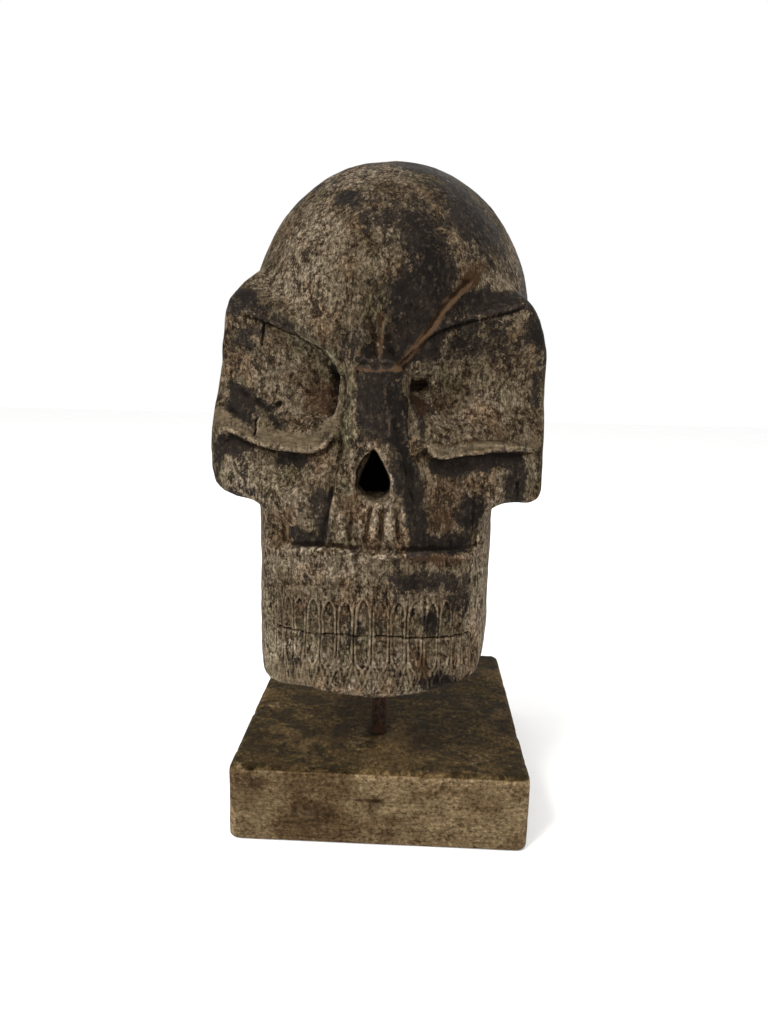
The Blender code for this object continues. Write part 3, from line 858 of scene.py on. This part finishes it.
def cut_base(base):
    """Cut the recess for the foot plate, the room for the weld, and the holes for the post and the screws."""
    gap = Vector((0.0003, 0.0003, 0.0003))
    below = Vector((0, 0, 0.002))
    weld_radius = (WELD_HIGH.x - WELD_LOW.x) / 2 + 0.0006
    weld_foot = Vector((POST_AXIS.x, POST_AXIS.y, PLATE_LOW.z))
    weld_top = Vector((POST_AXIS.x, POST_AXIS.y, WELD_HIGH.z + gap.z))
    tools = [
        cutter("plate_recess", PLATE_LOW - gap - below, PLATE_HIGH + gap),
        cutter("weld_room", weld_foot, weld_top, weld_radius),
        cutter("post_hole", POST_LOW, POST_HIGH, BORE_RADIUS + 0.0001),
    ]
    for name in SCREWS:
        low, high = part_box(name)
        tools.append(cutter(name + "_hole", low, high + gap, SCREW_HOLE_RADIUS))
    folder = bpy.data.collections.new("base_cutters")
    bpy.context.scene.collection.children.link(folder)
    for tool in tools:
        bpy.context.scene.collection.objects.unlink(tool)
        folder.objects.link(tool)
    modifier = base.modifiers.new("cut", "BOOLEAN")
    modifier.operand_type = "COLLECTION"
    modifier.collection = folder
    modifier.solver = "EXACT"
    with_modifiers(base)
    for tool in tools:
        bpy.data.objects.remove(tool)
    bpy.data.collections.remove(folder)


def make_base(wood):
    """The block, with worn edges, fine cracks in its sides, and a stained top."""
    base = rounded_block()
    mesh = remesh(base, BASE_VOXEL, 2)
    carving = Carving(mesh, seed=301)
    x, y, z = carving.at.T
    free = ramp(z, 0.4, 3)
    carving.height += free * (0.35 * carving.noise(26, 0, 2) + 0.16 * carving.noise(7, 3, 2, (3, 1, 1)))
    carving.height += free * 0.10 * carving.noise(2.6, 6, 2, (6, 1, 1))
    edge_wear = ramp(carving.noise(9, 9, 3), 0.15, 0.6) * ramp(z, 34, 39)
    outer = ramp(np.maximum(np.abs(x) / BASE_HIGH.x, np.abs(y) / BASE_HIGH.y) * MM, 0.93, 0.99)
    carving.height -= 1.1 * edge_wear * outer
    cracks = ramp(carving.noise(1.8, 12, 2, (30, 30, 1)), 0.50, 0.62)
    cracks *= ramp(carving.noise(30, 24), 0.1, 0.4)
    carving.height -= free * 0.45 * cracks * (1 - ramp(carving.normal[:, 2], 0.4, 0.8))
    carving.tone["dark"] += ramp(carving.noise(22, 15), -0.1, 0.5) * 0.7
    carving.tone["pale"] += ramp(carving.noise(17, 18), 0.1, 0.6) * 0.6
    carving.tone["warm"] += ramp(carving.noise(30, 21), 0.0, 0.6) * 0.5
    for stain in BASE_STAINS:
        carving.patch("dark", *stain)
    top = ramp(carving.normal[:, 2], 0.4, 0.8)
    carving.tone["green"] += top
    offset = carving.at[:, :2] - POST_CENTRE
    carving.tone["black"] += top * bump_at(np.linalg.norm(offset, axis=1) - 5, 2.2) * 0.8
    carving.apply()
    cut_base(base)
    finish_piece(base, wood, "base", ["base"])


def make_post(rust):
    """The round bar, with a skin of flaked rust."""
    rings, sides = 280, 48
    height = POST_HIGH.z - POST_LOW.z
    turn = np.linspace(0, 2 * math.pi, sides, endpoint=False)
    level = np.linspace(0, 1, rings)
    angle, share = np.meshgrid(turn, level)
    around = np.stack([np.cos(angle), np.sin(angle), share * height / POST_RADIUS], axis=-1).reshape(-1, 3)
    flakes = ramp(fractal(around, 0.55, 401, 3, (1, 1, 2)), 0.05, 0.25)
    skin = 0.00009 * flakes + 0.00006 * fractal(around, 0.25, 405, 2)
    radius = (POST_RADIUS - 0.00006 + skin).reshape(rings, sides)
    points = np.stack(
        [
            POST_AXIS.x + radius * np.cos(angle),
            POST_AXIS.y + radius * np.sin(angle),
            POST_LOW.z + share * height,
        ],
        axis=-1,
    ).reshape(-1, 3)
    faces = []
    for ring, side in itertools.product(range(rings - 1), range(sides)):
        start, after = ring * sides + side, ring * sides + (side + 1) % sides
        faces.append((start, after, after + sides, start + sides))
    faces.append(tuple(reversed(range(sides))))
    faces.append(tuple(range((rings - 1) * sides, rings * sides)))
    mesh = bpy.data.meshes.new("rusty_post")
    mesh.from_pydata(points.tolist(), [], faces)
    post = new_object("rusty_post", mesh)
    finish_piece(post, rust, "post", ["post"])
    mesh.set_sharp_from_angle(angle=math.radians(50))


# ---------------------------------------------------------------- materials


def seen(red, green, blue):
    """The paint that shows as these display values, from 0 to 255, under the studio's lights."""
    values = [channel / 255 for channel in (red, green, blue)]
    linear = [value / 12.92 if value < 0.04045 else ((value + 0.055) / 1.055) ** 2.4 for value in values]
    return (*(value / LIGHT_LEVEL for value in linear), 1.0)


# Colours that darken or lighten a paint when it is multiplied by them
DARKER = (0.24, 0.19, 0.13, 1.0)
LIGHTER = (2.10, 2.15, 2.25, 1.0)
REDDER = (1.08, 0.93, 0.82, 1.0)
GREENER = (0.94, 1.0, 0.90, 1.0)


class Surface:
    """A procedural material, with short calls for the nodes that it is made of."""

    def __init__(self, name):
        self.material = bpy.data.materials.new(name)
        self.material.use_nodes = True
        self.tree = self.material.node_tree
        self.shader = self.tree.nodes["Principled BSDF"]
        self.place = self.tree.nodes.new("ShaderNodeTexCoord").outputs["Object"]
        self.breaks = ()

    def node(self, kind, inputs, **settings):
        item = self.tree.nodes.new(kind)
        for name, value in settings.items():
            setattr(item, name, value)
        for name, value in inputs.items():
            self.feed(item.inputs[name], value)
        return item

    def feed(self, socket, value):
        if isinstance(value, bpy.types.NodeSocket):
            self.tree.links.new(value, socket)
        else:
            socket.default_value = value

    def attribute(self, name):
        return self.node("ShaderNodeAttribute", {}, attribute_name=name).outputs["Fac"]

    def noise(self, size, stretch=(1, 1, 1), detail=3, roughness=0.55, seed=0):
        """Noise with lumps of the given size in millimetres, spread over the whole of 0 to 1."""
        scale = [1 / (size * MM * amount) for amount in stretch]
        moved = self.node(
            "ShaderNodeMapping", {"Vector": self.place, "Location": (seed, seed, seed), "Scale": scale}
        )
        inputs = {"Vector": moved.outputs[0], "Scale": 1.0, "Detail": detail, "Roughness": roughness}
        value = self.node("ShaderNodeTexNoise", inputs).outputs["Fac"]
        octaves = [roughness**octave for octave in range(detail + 1)]
        spread = 0.3 * math.hypot(*octaves) / sum(octaves)
        limits = {"From Min": 0.5 - spread, "From Max": 0.5 + spread}
        return self.node("ShaderNodeMapRange", {"Value": value, **limits}).outputs["Result"]

    def worn(self, tone, reach, low, high, most=1.0):
        """How much of a tone shows, with its edges broken up by the surface's own noises."""
        swings = [(noise, 2 * share * reach) for noise, share in self.breaks]
        return self.ramp(self.frayed(tone, *swings), low, high, 0, most)

    def frayed(self, tone, *swings):
        """A tone with noises added to it, each moving it by up to half its swing either way."""
        value = self.attribute(tone)
        for noise, swing in swings:
            value = self.math("ADD", value, self.math("MULTIPLY_ADD", noise, swing, -swing / 2))
        return value

    def math(self, operation, *values):
        inputs = dict(enumerate(values))
        return self.node("ShaderNodeMath", inputs, operation=operation).outputs[0]

    def ramp(self, value, low, high, start=0.0, end=1.0):
        inputs = {"Value": value, "From Min": low, "From Max": high, "To Min": start, "To Max": end}
        item = self.node("ShaderNodeMapRange", inputs, interpolation_type="SMOOTHSTEP")
        return item.outputs["Result"]

    def mix(self, share, first, second, blend="MIX"):
        inputs = {0: share, 6: first, 7: second}
        item = self.node("ShaderNodeMix", inputs, data_type="RGBA", blend_type=blend)
        return item.outputs[2]

    def finish(self, colour, roughness, height, depth, specular=0.18, metallic=0.0):
        """Connect the colour, the roughness and a bump, whose full height is given in millimetres."""
        bump = self.node("ShaderNodeBump", {"Height": height, "Distance": depth * MM, "Strength": 1.0})
        self.feed(self.shader.inputs["Base Color"], colour)
        self.feed(self.shader.inputs["Roughness"], roughness)
        self.feed(self.shader.inputs["Normal"], bump.outputs[0])
        self.shader.inputs["Specular IOR Level"].default_value = specular
        self.feed(self.shader.inputs["Metallic"], metallic)
        return self.material


def paint_share(wood, tone, most):
    """How much of a patch of paint shows on the worn wood, with wide ragged edges."""
    return wood.worn(tone, 0.5, 0.15, 0.9, most)


def wood_noises(wood):
    """The noises that the carved wood's colours and bumps share."""
    return SimpleNamespace(
        broad=wood.noise(16, (1, 1, 1.6), 8, 0.68, 5),
        middling=wood.noise(6, (1, 1, 1.5), 7, 0.80, 7),
        dust=wood.noise(2.6, (1, 1, 1.4), 6, 0.85, 13),
        speckle=wood.noise(1.9, (1, 1, 1.3), 5, 0.85, 9),
        fibre=wood.noise(0.9, (1, 1, 10), 4, 0.75, 3),
        level=wood.noise(1.0, (12, 1, 1), 4, 0.7, 15),
        hue=wood.noise(15, (1, 1, 1.5), 5, 0.60, 19),
    )


def worn_paint(wood, grain):
    """Bare wood with its patches of paint, and slow changes of hue."""
    colour = wood.mix(wood.ramp(grain.broad, 0.1, 0.9), seen(92, 79, 61), seen(122, 107, 87))
    colour = wood.mix(paint_share(wood, "green", 0.7), colour, seen(100, 94, 75))
    colour = wood.mix(paint_share(wood, "warm", 0.85), colour, seen(82, 62, 45))
    colour = wood.mix(paint_share(wood, "pale", 0.9), colour, seen(136, 121, 101))
    colour = wood.mix(wood.ramp(grain.hue, 0.55, 0.95, 0, 0.8), colour, REDDER, "MULTIPLY")
    colour = wood.mix(wood.ramp(grain.hue, 0.45, 0.05, 0, 0.8), colour, GREENER, "MULTIPLY")
    return wood.mix(wood.ramp(grain.fibre, 0.5, 0.15, 0, 0.65), colour, DARKER, "MULTIPLY")


def speckled(wood, grain, colour):
    """The colour with dark clumps and specks and light flecks, except where it is polished smooth."""
    smooth = wood.worn("smooth", 0.3, 0.35, 0.8)
    polished = wood.mix(wood.ramp(grain.level, 0.1, 0.9), seen(94, 80, 60), seen(126, 110, 87))
    rough = wood.ramp(smooth, 0, 1, 1.0, 0.15)
    clump = wood.math("MULTIPLY_ADD", grain.dust, 0.4, wood.math("MULTIPLY", grain.middling, 0.6))
    clumps = wood.math("MULTIPLY", wood.ramp(clump, 0.54, 0.70, 0, 0.9), rough)
    crowd = wood.math("MULTIPLY", wood.ramp(grain.middling, 0.15, 0.65, 0.35, 1.0), rough)
    specks = wood.math("MULTIPLY", wood.ramp(grain.speckle, 0.50, 0.25), crowd)
    lights = wood.math("MULTIPLY", wood.ramp(grain.speckle, 0.53, 0.78), rough)
    colour = wood.mix(smooth, colour, polished)
    colour = wood.mix(clumps, colour, DARKER, "MULTIPLY")
    colour = wood.mix(specks, colour, DARKER, "MULTIPLY")
    return wood.mix(lights, colour, LIGHTER, "MULTIPLY")


def patinated(wood, grain, colour, skin):
    """The colour with a smooth dark skin where the patina is left."""
    patina = wood.mix(wood.ramp(grain.broad, 0.2, 0.8), seen(29, 24, 20), seen(44, 37, 32))
    patina = wood.mix(wood.ramp(grain.speckle, 0.45, 0.15, 0, 0.7), patina, seen(20, 15, 11))
    patina = wood.mix(wood.ramp(grain.dust, 0.62, 0.88, 0, 0.7), patina, seen(80, 69, 56))
    return wood.mix(skin, colour, patina)


def lined(wood, grain, colour):
    """The colour with brown streaks, pale rims that are partly worn and partly painted highlight, and painted
    shade in hollows, cracks and holes.
    """
    streak = wood.frayed("warm", (grain.dust, 0.8))
    colour = wood.mix(wood.ramp(streak, 0.9, 1.5, 0, 0.9), colour, seen(72, 53, 36))
    # Painted highlight on raised rims, with paler worn edges
    rim = wood.frayed("rim", (grain.dust, 0.6))
    colour = wood.mix(wood.ramp(rim, 0.2, 1.0, 0, 0.8), colour, LIGHTER, "MULTIPLY")
    # Painted shade in hollows
    hollow = wood.frayed("hollow", (grain.dust, 0.3))
    colour = wood.mix(wood.ramp(hollow, 0.1, 0.9, 0, 0.9), colour, DARKER, "MULTIPLY")
    # Near black: painted shade in cuts, cracks and holes
    black = wood.frayed("black", (grain.speckle, -0.5))
    return wood.mix(wood.ramp(black, 0.3, 0.9, 0, 0.95), colour, seen(12, 8, 5))


def carved_wood():
    """Old hardwood: dry and speckled where it is worn, and smooth and dark where the patina is left."""
    wood = Surface("carved_wood")
    grain = wood_noises(wood)
    wood.breaks = ((grain.middling, 0.9), (grain.broad, 0.5), (grain.dust, 0.8))
    skin = wood.worn("dark", 0.48, 0.36, 0.62)
    colour = worn_paint(wood, grain)
    colour = speckled(wood, grain, colour)
    colour = patinated(wood, grain, colour, skin)
    colour = lined(wood, grain, colour)
    roughness = wood.ramp(skin, 0, 1, 0.85, 0.6)
    height = wood.math("MULTIPLY_ADD", grain.fibre, 0.4, wood.math("MULTIPLY", grain.speckle, 0.6))
    height = wood.math("MULTIPLY_ADD", grain.middling, 0.7, height)
    height = wood.math("MULTIPLY", height, wood.ramp(skin, 0, 1, 1.0, 0.5))
    return wood.finish(colour, roughness, height, 0.45, specular=0.04)


def base_wood():
    """The block: a dark stained top, and paler sides with the grain running across."""
    wood = Surface("base_wood")
    grain = wood.noise(1.1, (14, 14, 1), 5, 0.75, 21)
    broad = wood.noise(24, (1.5, 1.5, 1), 7, 0.65, 23)
    blotch = wood.noise(9, (1.3, 1, 1), 8, 0.75, 25)
    fine = wood.noise(2.0, (1.2, 1.8, 1), 6, 0.85, 27)
    wood.breaks = ((blotch, 1.0), (fine, 0.6))

    sides = wood.mix(wood.ramp(broad, 0.1, 0.9), seen(98, 78, 53), seen(140, 119, 88))
    sides = wood.mix(wood.ramp(grain, 0.45, 0.1, 0, 0.4), sides, DARKER, "MULTIPLY")
    sides = wood.mix(wood.ramp(blotch, 0.55, 1.0, 0, 0.6), sides, seen(72, 52, 33))
    top = wood.mix(wood.ramp(blotch, 0.3, 0.7), seen(51, 41, 22), seen(84, 68, 42))
    top = wood.mix(wood.ramp(broad, 0.55, 0.85, 0, 0.8), top, seen(102, 82, 52))
    colour = wood.mix(wood.worn("green", 0.25, 0.25, 0.75), sides, top)
    colour = wood.mix(wood.worn("dark", 0.35, 0.35, 1.1, 0.65), colour, seen(54, 39, 24))
    colour = wood.mix(wood.worn("pale", 0.4, 0.35, 1.1, 0.5), colour, seen(132, 112, 84))
    # Painted highlight along the block's raised edges, with paler worn edges
    colour = wood.mix(wood.worn("rim", 0.6, 0.4, 1.0, 0.3), colour, LIGHTER, "MULTIPLY")
    # Painted shade in the block's hollows
    colour = wood.mix(wood.ramp(wood.attribute("hollow"), 0.1, 0.7, 0, 0.8), colour, DARKER, "MULTIPLY")
    colour = wood.mix(wood.ramp(fine, 0.45, 0.10, 0, 0.8), colour, DARKER, "MULTIPLY")
    colour = wood.mix(wood.ramp(fine, 0.60, 0.95, 0, 0.7), colour, LIGHTER, "MULTIPLY")
    colour = wood.mix(wood.attribute("black"), colour, seen(18, 12, 8))
    roughness = wood.ramp(blotch, 0.1, 0.9, 0.62, 0.8)
    height = wood.math("MULTIPLY_ADD", grain, 0.5, wood.math("MULTIPLY", fine, 0.5))
    return wood.finish(colour, roughness, height, 0.35, specular=0.03)


def rusty_steel():
    """Brown rust in flakes, with little bare metal left."""
    rust = Surface("rusty_steel")
    broad = rust.noise(3, (1, 1, 3), 5, 0.7, 31)
    fine = rust.noise(0.9, (1, 1, 1.5), 4, 0.75, 33)
    colour = rust.mix(rust.ramp(broad, 0.3, 0.7), seen(26, 15, 9), seen(68, 42, 24))
    colour = rust.mix(rust.ramp(fine, 0.50, 0.8, 0, 0.8), colour, seen(98, 68, 44))
    colour = rust.mix(rust.ramp(fine, 0.40, 0.1, 0, 0.7), colour, seen(16, 10, 7))
    metallic = rust.ramp(broad, 0.7, 1.0, 0.05, 0.4)
    roughness = rust.ramp(fine, 0.1, 0.9, 0.6, 0.88)
    return rust.finish(colour, roughness, fine, 0.12, metallic=metallic)


def plain_steel(name, clean, spotted, seed):
    """Dull steel with rust spots, for the parts under the base."""
    steel = Surface(name)
    rolled = steel.noise(0.7, (1, 12, 1), 3, 0.6, seed)
    spots = steel.noise(4, (1, 1, 1), 5, 0.7, seed + 2)
    rust = steel.ramp(spots, 0.6, 0.95)
    colour = steel.mix(steel.ramp(rolled, 0.1, 0.9, 0, 0.5), clean, spotted)
    colour = steel.mix(rust, colour, seen(84, 54, 32))
    roughness = steel.ramp(rust, 0, 1, 0.42, 0.85)
    metallic = steel.ramp(rust, 0, 1, 1.0, 0.1)
    return steel.finish(colour, roughness, rolled, 0.03, metallic=metallic)


def finish_fixings(rust):
    """Give the frame's own plate, weld and screws their materials."""
    plate = plain_steel("plain_steel", seen(150, 148, 144), seen(120, 117, 112), 41)
    zinc = plain_steel("screw_steel", seen(172, 168, 158), seen(140, 136, 126), 47)
    finishes = {"foot_plate": plate, "weld_bead": rust, **{name: zinc for name in SCREWS}}
    for name, material in finishes.items():
        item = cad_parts[name]
        for slot in item.material_slots:
            slot.material = material


# ---------------------------------------------------------------- the studio


def make_floor():
    paper = Surface("floor_paper")
    tone = paper.noise(60, (1, 1, 1), 3, 0.5, 51)
    colour = paper.mix(tone, (0.93, 0.93, 0.925, 1), (0.96, 0.96, 0.955, 1))
    paper.finish(colour, 0.9, paper.noise(0.6, (1, 1, 1), 2, 0.5, 53), 0.02)
    half = 3.0
    mesh = bpy.data.meshes.new("floor")
    corners = [(-half, -half, 0), (half, -half, 0), (half, half, 0), (-half, half, 0)]
    mesh.from_pydata(corners, [], [(0, 1, 2, 3)])
    mesh.materials.append(paper.material)
    new_object("floor", mesh)


def make_light(name, place, target, size, power):
    lamp = bpy.data.lights.new(name, "AREA")
    lamp.shape = "DISK"
    lamp.size = size
    lamp.energy = power
    item = new_object(name, lamp)
    item.location = place
    item.rotation_euler = (Vector(target) - Vector(place)).to_track_quat("-Z", "Y").to_euler()


def make_lights():
    world = bpy.data.worlds.new("studio")
    world.use_nodes = True
    backdrop = world.node_tree.nodes["Background"]
    backdrop.inputs["Color"].default_value = (1.0, 1.0, 1.0, 1.0)
    backdrop.inputs["Strength"].default_value = 1.0
    bpy.context.scene.world = world
    target = (0, -0.02, 0.19)
    make_light("key", (-0.75, -0.9, 1.2), target, 0.6, 26)
    make_light("fill", (0.9, -1.2, 0.5), target, 1.0, 4)
    make_light("back", (0.5, 1.1, 0.9), target, 1.0, 6)


def make_camera():
    lens = bpy.data.cameras.new("camera")
    lens.sensor_width = SENSOR_SIZE
    lens.lens = FOCAL_LENGTH
    lens.clip_start = 0.01
    camera = new_object("camera", lens)
    camera.matrix_world = (
        Matrix.Translation(CAMERA_PLACE)
        @ Matrix.Rotation(CAMERA_YAW, 4, "Z")
        @ Matrix.Rotation(math.radians(90) + CAMERA_PITCH, 4, "X")
        @ Matrix.Rotation(CAMERA_ROLL, 4, "Z")
    )
    bpy.context.scene.camera = camera


rust = rusty_steel()
make_camera()
make_lights()
make_floor()
make_skull(carved_wood())
make_base(base_wood())
make_post(rust)
finish_fixings(rust)
bpy.context.scene.view_settings.view_transform = "Standard"
